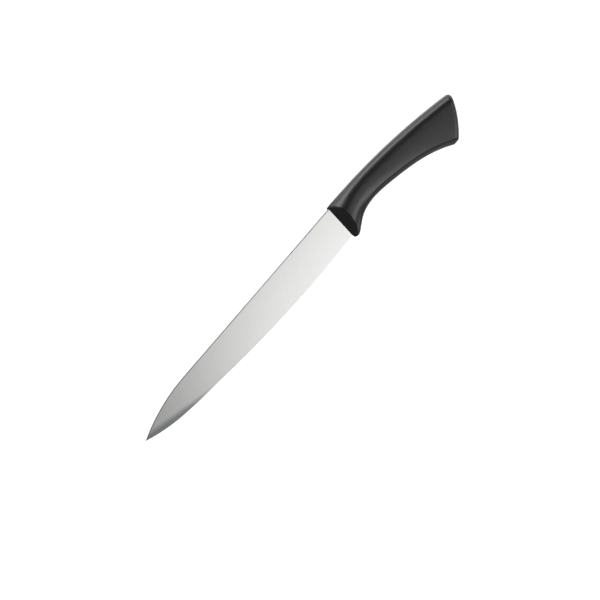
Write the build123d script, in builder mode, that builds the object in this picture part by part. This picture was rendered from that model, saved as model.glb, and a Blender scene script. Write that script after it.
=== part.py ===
from build123d import *
import math
import os

# Carving knife, lying on its side. Lengths are in millimetres, angles in degrees.
# The origin is where the handle's nose meets the blade, at half the blade's height, on the mid-plane.
# +X runs from the point to the butt, +Y from the edge to the spine, and +Z out of the right side.

# Blade
blade_length = 200.0
blade_height = 25.2
spine_thickness = 1.8
edge_thickness = 0.5
point_thickness = 1.34
point_drop = 9.3
spine_fall_length = 50.0
belly_length = 31.0
belly_rise = 7.7
heel_rake = 2.6
bevel_angle = 15.0
sharp_edge = 0.06

# Belly grind: a second flat grind that thins the steel behind the curved part of the edge
belly_grind_length = 58.0
belly_grind_height = 3.35
belly_grind_relief = 0.1

# Tang, one piece with the blade and hidden in the handle
neck_length = 3.0
shoulder_length = 8.0
tang_cover = 22.5
tang_root_height = 12.0
tang_end_height = 9.0
tang_root_offset = 3.8
tang_end_offset = -4.0
tang_corner = 3.0
tang_hole_radius = 2.5
tang_hole_shares = (0.14, 0.46, 0.78)

# Handle
handle_length = 114.5
handle_width = 19.0
back_cover = 1.3
guard_cover = 1.6
back_drop = 11.0
waist_lift = 8.3
underside_strip = 2.5

# Nose of the handle: two slanted faces that meet the blade in a leaning line
nose_lean = 5.4
nose_angle = 40.0
nose_back_corner = 1.0
nose_guard_corner = 3.0

# Flats where the nose flares widest, on which the knife lies still
flat_relief = 0.6
flat_length = 13.0

# Butt of the handle: its sharp corners before they are rounded, and the bulge between them
butt_overhang = 2.8
butt_back_drop = 10.7
butt_setback = 18.7
butt_depth = 9.6
butt_crown = 1.9
butt_foot_length = 12.0
butt_round = 2.8

# The side profile stands clear of the back and the guard, and bends where the back starts to fall
profile_margin = 0.15
back_bend_share = 0.54

# How the handle divides into its core and its grips
grip_skin = 2.5
back_strip = 4.0
strip_rim = 0.4
nose_rim = 1.0

# How far cutting shapes run past what they cut
overrun = 5.0
overrun_angle = 1.0

# The handle's cross-sections, from ahead of the nose to past the butt. Each one stands on the plane
# through a point of the underside and a point of the back.
back_x_shares = (-0.035, 0.026, 0.079, 0.148, 0.253, 0.437, 0.629, 0.83, 0.978, 1.066)
back_drop_shares = (0, 0, 0, 0.01, 0.036, 0.15, 0.355, 0.673, 0.968, 1.17)
under_x_shares = (-0.052, 0.037, 0.081, 0.135, 0.222, 0.393, 0.568, 0.707, 0.795, 0.847)
under_lift_shares = (0.03, 0, 0.36, 0.75, 1.0, 0.783, 0.265, -0.42, -1.096, -1.566)
width_shares = (0.98, 1.0, 0.95, 0.885, 0.84, 0.86, 0.93, 0.99, 1.01, 1.0)
widest_shares = (0.46, 0.46, 0.48, 0.52, 0.56, 0.60, 0.66, 0.72, 0.75, 0.76)
strip_height_shares = (0.48, 0.48, 0.55, 0.7, 0.9, 1.0, 1.0, 1.04, 1.2, 1.3)
strip_width_shares = (0.45, 0.45, 0.55, 0.66, 0.78, 0.84, 0.84, 0.85, 0.86, 0.86)
back_round_shares = (0.06, 0.07, 0.15, 0.36, 0.53, 0.6, 0.6, 0.6, 0.6, 0.6)
side_turns = (58, 58, 50, 38, 24, 16, 13, 11, 10, 10)
strip_turns = (58, 58, 52, 50, 53, 57, 58, 58, 58, 58)

# Reach of the control points of the sections' curves
side_up_share = 0.7
side_down_share = 0.45
above_ridge_share = 0.34
below_ridge_share = 0.42
underside_share = 0.376

# Places that several pieces share
spine_y = blade_height / 2
point = (-blade_length, spine_y - point_drop)
back_y = spine_y + back_cover
guard_y = -spine_y - guard_cover
half_width = handle_width / 2
tang_start = neck_length + shoulder_length
tang_end = handle_length - tang_cover


def direction(degrees):
    return Vector(math.cos(math.radians(degrees)), math.sin(math.radians(degrees)))


def side_height(x, y):
    """Half the blade's thickness on its flat-ground side."""
    across = (spine_thickness - edge_thickness) / 2 / blade_height
    along = (spine_thickness - point_thickness) / 2 / blade_length
    return spine_thickness / 2 - (spine_y - y) * across + x * along


def plane_through(a, b, c):
    """The plane through three points, facing +Z."""
    normal = (b - a).cross(c - a)
    return Plane(origin=a, x_dir=b - a, z_dir=normal if normal.Z > 0 else normal * -1)


def bevel_profile(arc, turn):
    """The profile that cuts the bevels along an arc of the edge, turned about the arc's centre."""
    centre = arc.arc_center
    start = (arc @ 0 - centre).rotate(Axis.Z, turn) + centre
    inward = (centre - start).normalized()
    slope = math.tan(math.radians(bevel_angle))
    low = sharp_edge / 2 - overrun * slope
    high = sharp_edge / 2 + overrun * slope
    with BuildSketch(Plane(origin=start, x_dir=inward, z_dir=inward.cross(Vector(0, 0, 1)))) as profile:
        with BuildLine():
            Polyline((-overrun, low), (overrun, high), (-overrun, high), close=True)
        make_face()
        mirror(about=Plane.XZ)
    return profile.sketch


with BuildPart() as blade:
    with BuildSketch():
        with BuildLine():
            spine = Line((neck_length, spine_y), (spine_fall_length - blade_length, spine_y))
            TangentArc(spine @ 1, point, tangent=spine % 1)
            long_edge = TangentArc(
                (neck_length, -spine_y),
                (belly_length - blade_length, belly_rise - spine_y),
                tangent=direction(180 + heel_rake),
            )
            belly_edge = TangentArc(long_edge @ 1, point, tangent=long_edge % 1)
            Line(long_edge @ 0, spine @ 0)
        make_face()
    extrude(amount=spine_thickness / 2, both=True)

    # Flat grind from the spine to the edge, thinner towards the point
    corners = [(0, spine_y), (0, -spine_y), (-blade_length, spine_y)]
    flat_side = plane_through(*[Vector(x, y, side_height(x, y)) for x, y in corners])

    # Belly grind below a line from the edge to just above the point
    centre = long_edge.arc_center
    line_start_x = belly_grind_length - blade_length
    line_start = (line_start_x, centre.Y - math.sqrt(long_edge.radius**2 - (line_start_x - centre.X) ** 2))
    line_end = (point[0], point[1] + belly_grind_height)
    below = (belly_length - blade_length, belly_rise - spine_y)
    belly_side = plane_through(
        Vector(*line_start, side_height(*line_start)),
        Vector(*line_end, side_height(*line_end)),
        Vector(*below, side_height(*below) - belly_grind_relief),
    )
    for grind in (flat_side, belly_side):
        split(bisect_by=grind, keep=Keep.BOTTOM)
        other_side = Plane(
            origin=(grind.origin.X, grind.origin.Y, -grind.origin.Z),
            z_dir=(grind.z_dir.X, grind.z_dir.Y, -grind.z_dir.Z),
        )
        split(bisect_by=other_side, keep=Keep.BOTTOM)

    # Cutting bevels on both sides of the edge
    for arc, lead in ((long_edge, overrun_angle), (belly_edge, 0)):
        revolve(
            bevel_profile(arc, lead),
            axis=Axis(arc.arc_center, (0, 0, -1)),
            revolution_arc=math.degrees(arc.length / arc.radius) + lead + overrun_angle,
            mode=Mode.SUBTRACT,
        )

    # Tang, at the full thickness of the sheet, with the holes that the core fills
    with BuildSketch():
        with BuildLine():
            Polyline(
                (neck_length, spine_y),
                (tang_start, tang_root_offset + tang_root_height / 2),
                (tang_end, tang_end_offset + tang_end_height / 2),
                (tang_end, tang_end_offset - tang_end_height / 2),
                (tang_start, tang_root_offset - tang_root_height / 2),
                (neck_length, -spine_y),
                close=True,
            )
        tang_face = make_face()
        fillet(tang_face.vertices().group_by(Axis.X)[-1], tang_corner)
    extrude(amount=spine_thickness / 2, both=True)
    tang_line = Vector(tang_end - tang_start, tang_end_offset - tang_root_offset)
    hole_places = [Vector(tang_start, tang_root_offset) + tang_line * share for share in tang_hole_shares]
    with BuildSketch():
        with Locations(*hole_places):
            Circle(tang_hole_radius)
    extrude(amount=spine_thickness, both=True, mode=Mode.SUBTRACT)


def station(n):
    """The plane of a cross-section, with its height."""
    under = Vector(under_x_shares[n] * handle_length, guard_y + under_lift_shares[n] * waist_lift)
    back = Vector(back_x_shares[n] * handle_length, back_y - back_drop_shares[n] * back_drop)
    up = (back - under).normalized()
    return Plane(origin=under, x_dir=(0, 0, 1), z_dir=(-up.Y, up.X, 0)), (back - under).length


def section_line(n, inset):
    """The outline of a cross-section: a round back, sides and an underside between two ridges.

    An inset outline ends in a straight line between its ridges, which the underside strip covers.
    """
    height = station(n)[1]
    wide = half_width * width_shares[n] - inset
    back = height - inset
    widest = height * widest_shares[n]
    ridge_wide = wide * strip_width_shares[n]
    ridge = underside_strip * strip_height_shares[n]
    above = direction(side_turns[n] - 90) * (widest - ridge) * above_ridge_share
    below = direction(strip_turns[n] - 90) * ridge_wide * below_ridge_share
    round_over = [
        (0, back),
        (wide * back_round_shares[n], back),
        (wide, widest + (back - widest) * side_up_share),
        (wide, widest),
    ]
    side = [
        (wide, widest),
        (wide, widest - (widest - ridge) * side_down_share),
        (ridge_wide + above.X, ridge - above.Y),
        (ridge_wide, ridge),
    ]
    underside = [
        (ridge_wide, ridge),
        (ridge_wide - below.X, ridge + below.Y),
        (ridge_wide * underside_share, 0),
        (0, 0),
    ]
    for points in (round_over, side) if inset else (round_over, side, underside):
        Bezier(*points)
        Bezier(*[(-x, y) for x, y in points])
    if inset:
        Line((-ridge_wide, ridge), (ridge_wide, ridge))


stations = range(len(back_x_shares))
nose_line = direction(90 - nose_lean)
nose_plane = Plane(origin=(0, 0, 0), x_dir=direction(-nose_lean), z_dir=nose_line)


def ahead_of_nose(setback):
    """What lies ahead of the two slanted faces of the nose, moved back by the setback."""
    run = handle_width * math.tan(math.radians(nose_angle))
    with BuildPart() as space:
        with BuildSketch(nose_plane):
            with BuildLine():
                Polyline(
                    (setback, 0),
                    (setback + run, handle_width),
                    (-handle_width, handle_width),
                    (-handle_width, -handle_width),
                    (setback + run, -handle_width),
                    close=True,
                )
            make_face()
        extrude(amount=blade_height, both=True)
    return space.part


nose_space = ahead_of_nose(0)
rim_space = ahead_of_nose(nose_rim)

# The right half of the handle, before it divides into its core and its grips
with BuildPart() as handle_half:
    for n in stations:
        with BuildSketch(station(n)[0]):
            with BuildLine():
                section_line(n, 0)
            make_face()
    loft()

    # Side profile, with the rounded corners of the nose and the bulge of the butt
    nose_top = nose_line * (back_y + profile_margin)
    nose_bottom = nose_line * (guard_y - profile_margin)
    back_bend = Vector(back_bend_share * handle_length, back_y + profile_margin)
    butt_top = Vector(handle_length + butt_overhang, back_y - butt_back_drop)
    butt_bottom = Vector(handle_length - butt_setback, guard_y - butt_depth)
    butt_foot = butt_bottom - Vector(butt_foot_length, 0)
    with BuildSketch() as side_profile:
        with BuildLine():
            Polyline(butt_bottom, butt_foot, nose_bottom, nose_top, back_bend, butt_top)
            SagittaArc(butt_top, butt_bottom, butt_crown)
        make_face()
        fillet(side_profile.vertices().sort_by_distance(nose_top)[0], nose_back_corner)
        fillet(side_profile.vertices().sort_by_distance(nose_bottom)[0], nose_guard_corner)
    extrude(amount=handle_width, both=True, mode=Mode.INTERSECT)

    butt_face = handle_half.faces().filter_by(GeomType.CYLINDER).sort_by(Axis.X)[-1]
    fillet(butt_face.edges(), butt_round)
    add(nose_space, mode=Mode.SUBTRACT)
    split(bisect_by=Plane.XY, keep=Keep.TOP)
    with BuildSketch(Plane.XY.offset(half_width - flat_relief)):
        Rectangle(2 * flat_length, 2 * blade_height)
    extrude(amount=overrun, mode=Mode.SUBTRACT)

# What belongs to the core: the inside of the handle, its underside strip, its back line and its nose
with BuildPart() as core_space:
    for n in stations:
        with BuildSketch(station(n)[0]):
            with BuildLine():
                section_line(n, grip_skin)
            make_face()
    loft()
    for n in stations:
        low = -overrun
        high = underside_strip * strip_height_shares[n] + strip_rim
        with BuildSketch(station(n)[0]):
            with BuildLine():
                Polyline(
                    (-handle_width, low),
                    (handle_width, low),
                    (handle_width, high),
                    (-handle_width, high),
                    close=True,
                )
            make_face()
    loft()
    with BuildSketch():
        with Locations((handle_length / 2, 0)):
            Rectangle(handle_length + 2 * (butt_overhang + overrun), handle_length)
    extrude(amount=back_strip / 2, both=True)
    add(rim_space)

with BuildPart() as handle_core:
    add(handle_half.part)
    add(core_space.part, mode=Mode.INTERSECT)
    mirror(about=Plane.XY)
    add(blade.part, mode=Mode.SUBTRACT)

with BuildPart() as grip_right:
    add(handle_half.part)
    add(core_space.part, mode=Mode.SUBTRACT)

with BuildPart() as grip_left:
    mirror(grip_right.part, about=Plane.XY)

blade.part.label = "blade"
handle_core.part.label = "handle_core"
grip_right.part.label = "grip_right"
grip_left.part.label = "grip_left"

os.makedirs("parts", exist_ok=True)
export_step(blade.part, "parts/blade.step")
export_step(handle_core.part, "parts/handle_core.step")
export_step(grip_right.part, "parts/grip_right.step")
export_step(grip_left.part, "parts/grip_left.step")
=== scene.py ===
import math

import bpy
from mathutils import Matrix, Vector


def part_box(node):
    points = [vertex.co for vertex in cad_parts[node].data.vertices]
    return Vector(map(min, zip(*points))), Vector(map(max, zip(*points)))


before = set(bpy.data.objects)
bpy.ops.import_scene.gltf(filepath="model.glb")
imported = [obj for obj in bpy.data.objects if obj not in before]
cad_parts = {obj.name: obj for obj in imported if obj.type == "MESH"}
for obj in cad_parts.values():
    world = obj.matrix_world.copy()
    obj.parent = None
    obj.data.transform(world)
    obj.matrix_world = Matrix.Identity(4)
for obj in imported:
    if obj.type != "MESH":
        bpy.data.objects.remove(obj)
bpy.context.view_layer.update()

# Lengths are in metres and angles in degrees, unless a name ends in px.
# +X runs from the point to the butt, +Y from the edge to the spine, and +Z out of the right side.

MM = 0.001

# The photograph's view, straight down on the blade's right side
PHOTO_WIDTH_PX = 600
PHOTO_SCALE = 0.6842 * MM
VIEW_CENTRE = (-57.8 * MM, -13.4 * MM)
VIEW_TURN = -49.16
CAMERA_HEIGHT = 1.5
SENSOR_WIDTH = 36

BLACK = (0, 0, 0, 1)
WHITE = (1, 1, 1, 1)

blade_low, blade_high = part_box("blade")
core_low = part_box("handle_core")[0]

# Where the spine starts to fall towards the point, and the belly's own grind
SPINE_FALL_LENGTH = 50 * MM
POINT_DROP = 9.3 * MM
SPINE_ARC_RADIUS = (SPINE_FALL_LENGTH**2 + POINT_DROP**2) / (2 * POINT_DROP)
SPINE_ARC_X = blade_low.x + SPINE_FALL_LENGTH
SPINE_ARC_Y = blade_high.y - SPINE_ARC_RADIUS
BELLY_START = (-142 * MM, -8.2 * MM)
BELLY_END = (-200 * MM, 6.65 * MM)

# Steel, brushed across the blade in fine strokes over broad ones, with painted shade along the spine and on
# the belly's grind
STEEL_DARK = (0.7, 0.7, 0.695, 1)
STEEL_PALE = (0.78, 0.78, 0.77, 1)
STEEL_ROUGHNESS = 0.27
BRUSH_ROUGHNESS = 0.012
BELLY_ROUGHNESS = 0.1
BRUSH_TURN = 53
BRUSH_LENGTH = 14 * MM
BRUSH_WIDTH = 0.22 * MM
BRUSH_DEPTH = 0.0009 * MM
BROAD_LENGTH = 60 * MM
BROAD_WIDTH = 1.5 * MM
FINE_SHARE = 0.6
BROAD_SHARE = 0.4
# Painted shade: a dark line along the spine's edge, where the spine's face reflects the dark around it
SPINE_PAINTED_SHADE = (0.1, 0.1, 0.1, 1)
SPINE_SHADE_START = 0.15 * MM
SPINE_SHADE_END = 1.0 * MM
# Painted shade: the steel darker past the belly's grind line near the point, standing in for the grind's
# dimmer reflection
BELLY_PAINTED_SHADE = (0.27, 0.285, 0.28, 1)
BELLY_FADE = 2.4 * MM

# Plastics: grained on the grips, smooth on the core
GRIP_DARK = (0.003, 0.003, 0.003, 1)
GRIP_PALE = (0.009, 0.009, 0.009, 1)
GRIP_ROUGHNESS = 0.27
GRIP_ROUGHNESS_RANGE = 0.14
GRIP_SHINE = 0.5
CORE_DARK = (0.005, 0.005, 0.005, 1)
CORE_PALE = (0.009, 0.009, 0.009, 1)
CORE_ROUGHNESS = 0.34
CORE_ROUGHNESS_RANGE = 0.1
CORE_SHINE = 0.1
GRAIN_SIZE = 1.2 * MM
GRAIN_DEPTH = 0.08 * MM
GRAIN_DETAIL = 3.0
GRAIN_HARSHNESS = 0.6
GRAIN_SHARE = 0.6
DRIFT_SHARE = 0.4
DRIFT_SIZE = 14 * MM
RIPPLE_SIZE = 3 * MM
RIPPLE_DEPTH = 0.004 * MM

# Floor, and white walls that fade into a dim ceiling between two heights of the view direction
FLOOR_SIZE = 12.0
FLOOR_GAP = 0.2 * MM
FLOOR_HEIGHT = core_low.z - FLOOR_GAP
FLOOR_COLOUR = (0.8, 0.8, 0.8, 1)
FLOOR_GLOW = 0.66
CEILING_START = 0.2
CEILING_END = 0.5
CEILING_DIMMING = 0.88

# Lamps. Slopes run from straight up towards +X and +Y. The key lights the blade and fades towards its
# point, the side lamp lights the lower half of the handle, and the rim panel draws the line along its back.
LAMP_WATTS = 4
KEY_SLOPES_X = (-0.18, 1.0)
KEY_SLOPES_Y = (-0.2, -0.01)
KEY_RADIANCE = 1.55
SIDE_SLOPES_X = (-0.3, 1.0)
SIDE_SLOPES_Y = (-1.0, -0.4)
SIDE_RADIANCE = 3.2
OVERHEAD_HEIGHT = 1.2
RIM_BEARING = 90
RIM_ELEVATION = 20
RIM_DISTANCE = 1.4
RIM_SIZE = (1.6, 0.7)
RIM_RADIANCE = 3.6


class Wire:
    """A shader value. Arithmetic on it adds Math nodes."""

    def __init__(self, maker, socket):
        self.maker = maker
        self.socket = socket

    def math(self, operation, *terms):
        return self.maker.node("ShaderNodeMath", {"operation": operation}, dict(enumerate(terms)))

    def least(self, other):
        return self.math("MINIMUM", self, other)

    def root(self):
        return self.math("SQRT", self)

    def __add__(self, other):
        return self.math("ADD", self, other)

    def __radd__(self, other):
        return self.math("ADD", other, self)

    def __sub__(self, other):
        return self.math("SUBTRACT", self, other)

    def __rsub__(self, other):
        return self.math("SUBTRACT", other, self)

    def __mul__(self, other):
        return self.math("MULTIPLY", self, other)

    def __rmul__(self, other):
        return self.math("MULTIPLY", other, self)


class Maker:
    """Adds nodes to a node tree."""

    def __init__(self, tree):
        self.tree = tree

    def node(self, kind, settings=None, inputs=None, output=0):
        """Adds a node with its settings, feeds its inputs by name or number, and gives one output."""
        made = self.tree.nodes.new(kind)
        for name, value in (settings or {}).items():
            setattr(made, name, value)
        self.feed(made, inputs or {})
        return Wire(self, made.outputs[output])

    def feed(self, made, inputs):
        for name, value in inputs.items():
            if isinstance(value, Wire):
                self.tree.links.new(value.socket, made.inputs[name])
            else:
                made.inputs[name].default_value = value

    def place(self, turn=0, scale=(1, 1, 1)):
        """The object's coordinates, turned about Z and scaled, for grain that runs one way."""
        place = self.node("ShaderNodeTexCoord", output="Object")
        inputs = {"Vector": place, "Rotation": (0, 0, math.radians(turn)), "Scale": scale}
        return self.node("ShaderNodeMapping", {"vector_type": "TEXTURE"}, inputs)

    def noise(self, place, detail=2.0, roughness=0.5):
        inputs = {"Vector": place, "Scale": 1.0, "Detail": detail, "Roughness": roughness}
        return self.node("ShaderNodeTexNoise", {"noise_dimensions": "3D"}, inputs)

    def fade(self, value, start, end):
        """Rises smoothly from 0 to 1 as the value goes from start to end."""
        inputs = {"Value": value, "From Min": start, "From Max": end}
        return self.node("ShaderNodeMapRange", {"interpolation_type": "SMOOTHSTEP"}, inputs)

    def mix(self, factor, first, second):
        """A colour between two colours. A mix node's colour sockets have numbers of their own."""
        inputs = {0: factor, 6: first, 7: second}
        return self.node("ShaderNodeMix", {"data_type": "RGBA"}, inputs, output=2)

    def bump(self, height, depth):
        return self.node("ShaderNodeBump", None, {"Strength": 1.0, "Distance": depth, "Height": height})


def new_material(name):
    """A material, its maker and its Principled shader."""
    material = bpy.data.materials.new(name)
    material.use_nodes = True
    return material, Maker(material.node_tree), material.node_tree.nodes["Principled BSDF"]


def axes(maker):
    """The object's X and Y."""
    place = maker.node("ShaderNodeTexCoord", output="Object")
    return [maker.node("ShaderNodeSeparateXYZ", None, {0: place}, output=name) for name in "XY"]


def depth_below_spine(maker):
    """How far a point of the blade lies inside the spine, along its straight part and its arc."""
    x, y = axes(maker)
    along = (x - SPINE_ARC_X).least(0.0)
    across = y - SPINE_ARC_Y
    return SPINE_ARC_RADIUS - (along * along + across * across).root()


def depth_below_belly_line(maker):
    """How far a point lies on the edge's side of the line where the belly's grind starts."""
    x, y = axes(maker)
    run = Vector(BELLY_END) - Vector(BELLY_START)
    run.normalize()
    return (y - BELLY_START[1]) * run.x - (x - BELLY_START[0]) * run.y


def brushed_steel():
    material, maker, surface = new_material("brushed_steel")
    fine = maker.noise(maker.place(BRUSH_TURN, (BRUSH_LENGTH, BRUSH_WIDTH, BRUSH_LENGTH)))
    broad = maker.noise(maker.place(BRUSH_TURN, (BROAD_LENGTH, BROAD_WIDTH, BROAD_LENGTH)))
    tone = fine * FINE_SHARE + broad * BROAD_SHARE
    shade = maker.mix(tone, STEEL_DARK, STEEL_PALE)
    # Past the belly's grind line: painted shade in the colour, and a higher roughness
    belly = maker.fade(depth_below_belly_line(maker), -BELLY_FADE, BELLY_FADE)
    shade = maker.mix(belly, shade, BELLY_PAINTED_SHADE)
    # Painted shade along the spine's edge, darkening the steel's colour there
    spine = maker.fade(depth_below_spine(maker), SPINE_SHADE_START, SPINE_SHADE_END)
    shade = maker.mix(spine, SPINE_PAINTED_SHADE, shade)
    inputs = {
        "Base Color": shade,
        "Metallic": 1.0,
        "Roughness": STEEL_ROUGHNESS + tone * BRUSH_ROUGHNESS + belly * BELLY_ROUGHNESS,
        "Normal": maker.bump(fine, BRUSH_DEPTH),
    }
    maker.feed(surface, inputs)
    return material


def grained_plastic():
    material, maker, surface = new_material("grained_plastic")
    grain = maker.noise(maker.place(0, (GRAIN_SIZE,) * 3), GRAIN_DETAIL, GRAIN_HARSHNESS)
    drift = maker.noise(maker.place(0, (DRIFT_SIZE,) * 3))
    inputs = {
        "Base Color": maker.mix(grain * GRAIN_SHARE + drift * DRIFT_SHARE, GRIP_DARK, GRIP_PALE),
        "Roughness": GRIP_ROUGHNESS + grain * GRIP_ROUGHNESS_RANGE,
        "Specular IOR Level": GRIP_SHINE,
        "Normal": maker.bump(grain, GRAIN_DEPTH),
    }
    maker.feed(surface, inputs)
    return material


def smooth_plastic():
    material, maker, surface = new_material("smooth_plastic")
    drift = maker.noise(maker.place(0, (DRIFT_SIZE,) * 3))
    ripple = maker.noise(maker.place(0, (RIPPLE_SIZE,) * 3))
    inputs = {
        "Base Color": maker.mix(drift, CORE_DARK, CORE_PALE),
        "Roughness": CORE_ROUGHNESS + drift * CORE_ROUGHNESS_RANGE,
        "Specular IOR Level": CORE_SHINE,
        "Normal": maker.bump(ripple, RIPPLE_DEPTH),
    }
    maker.feed(surface, inputs)
    return material


def dress(node, material):
    """Gives a CAD node one material."""
    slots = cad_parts[node].data.materials
    slots.clear()
    slots.append(material)


def add_to_scene(thing):
    bpy.context.scene.collection.objects.link(thing)
    return thing


def add_camera():
    data = bpy.data.cameras.new("camera")
    camera = add_to_scene(bpy.data.objects.new("camera", data))
    bpy.context.scene.camera = camera
    camera.location = (*VIEW_CENTRE, CAMERA_HEIGHT)
    camera.rotation_euler = (0, 0, math.radians(VIEW_TURN))
    data.sensor_width = SENSOR_WIDTH
    data.lens = SENSOR_WIDTH * CAMERA_HEIGHT / (PHOTO_WIDTH_PX * PHOTO_SCALE)


def add_lamp(name, size, radiance):
    """A flat lamp of one radiance all over, which the camera doesn't see."""
    data = bpy.data.lights.new(name, "AREA")
    data.shape = "RECTANGLE"
    data.size, data.size_y = size
    data.energy = radiance * LAMP_WATTS * size[0] * size[1]
    lamp = add_to_scene(bpy.data.objects.new(name, data))
    lamp.visible_camera = False
    return lamp


def add_overhead(name, slopes_x, slopes_y, height, radiance):
    """A level lamp overhead that fills a range of slopes, seen from the object."""
    low, high = (Vector(corner) * height for corner in zip(slopes_x, slopes_y))
    lamp = add_lamp(name, high - low, radiance)
    lamp.location = (*(low + high) / 2, height)


def add_panel(name, bearing, elevation, distance, size, radiance):
    """A lamp that faces the object from a bearing (from +X towards +Y) and an elevation."""
    lamp = add_lamp(name, size, radiance)
    turn = math.radians(bearing)
    rise = math.radians(elevation)
    outward = Vector((math.cos(turn) * math.cos(rise), math.sin(turn) * math.cos(rise), math.sin(rise)))
    lamp.location = outward * distance
    lamp.rotation_euler = outward.to_track_quat("Z", "Y").to_euler()


def add_floor():
    """A pale floor that also glows for what looks at it, so that it shows white and keeps the shadow."""
    half = FLOOR_SIZE / 2
    mesh = bpy.data.meshes.new("floor")
    places = ((-half, -half), (half, -half), (half, half), (-half, half))
    corners = [(x, y, FLOOR_HEIGHT) for x, y in places]
    mesh.from_pydata(corners, [], [(0, 1, 2, 3)])
    floor = add_to_scene(bpy.data.objects.new("floor", mesh))
    material, maker, surface = new_material("floor")
    names = ("Is Camera Ray", "Is Glossy Ray", "Is Transmission Ray")
    camera, glossy, through = [maker.node("ShaderNodeLightPath", output=name) for name in names]
    seen = camera + glossy + through
    inputs = {
        "Base Color": FLOOR_COLOUR,
        "Roughness": 1.0,
        "Specular IOR Level": 0.0,
        "Emission Color": maker.mix(seen, BLACK, WHITE),
        "Emission Strength": FLOOR_GLOW,
    }
    maker.feed(surface, inputs)
    mesh.materials.append(material)


def set_world():
    """White walls round the floor and a dim ceiling."""
    world = bpy.data.worlds.new("studio")
    bpy.context.scene.world = world
    world.use_nodes = True
    maker = Maker(world.node_tree)
    bearing = maker.node("ShaderNodeTexCoord", output="Generated")
    height = maker.node("ShaderNodeSeparateXYZ", None, {0: bearing}, output="Z")
    ceiling = maker.fade(height, CEILING_START, CEILING_END)
    strength = 1.0 - ceiling * CEILING_DIMMING
    maker.feed(world.node_tree.nodes["Background"], {"Color": WHITE, "Strength": strength})


add_camera()
dress("blade", brushed_steel())
dress("handle_core", smooth_plastic())
sides = grained_plastic()
dress("grip_right", sides)
dress("grip_left", sides)
add_floor()
set_world()
add_overhead("key", KEY_SLOPES_X, KEY_SLOPES_Y, OVERHEAD_HEIGHT, KEY_RADIANCE)
add_overhead("side", SIDE_SLOPES_X, SIDE_SLOPES_Y, OVERHEAD_HEIGHT, SIDE_RADIANCE)
add_panel("rim", RIM_BEARING, RIM_ELEVATION, RIM_DISTANCE, RIM_SIZE, RIM_RADIANCE)
bpy.context.scene.view_settings.view_transform = "Standard"
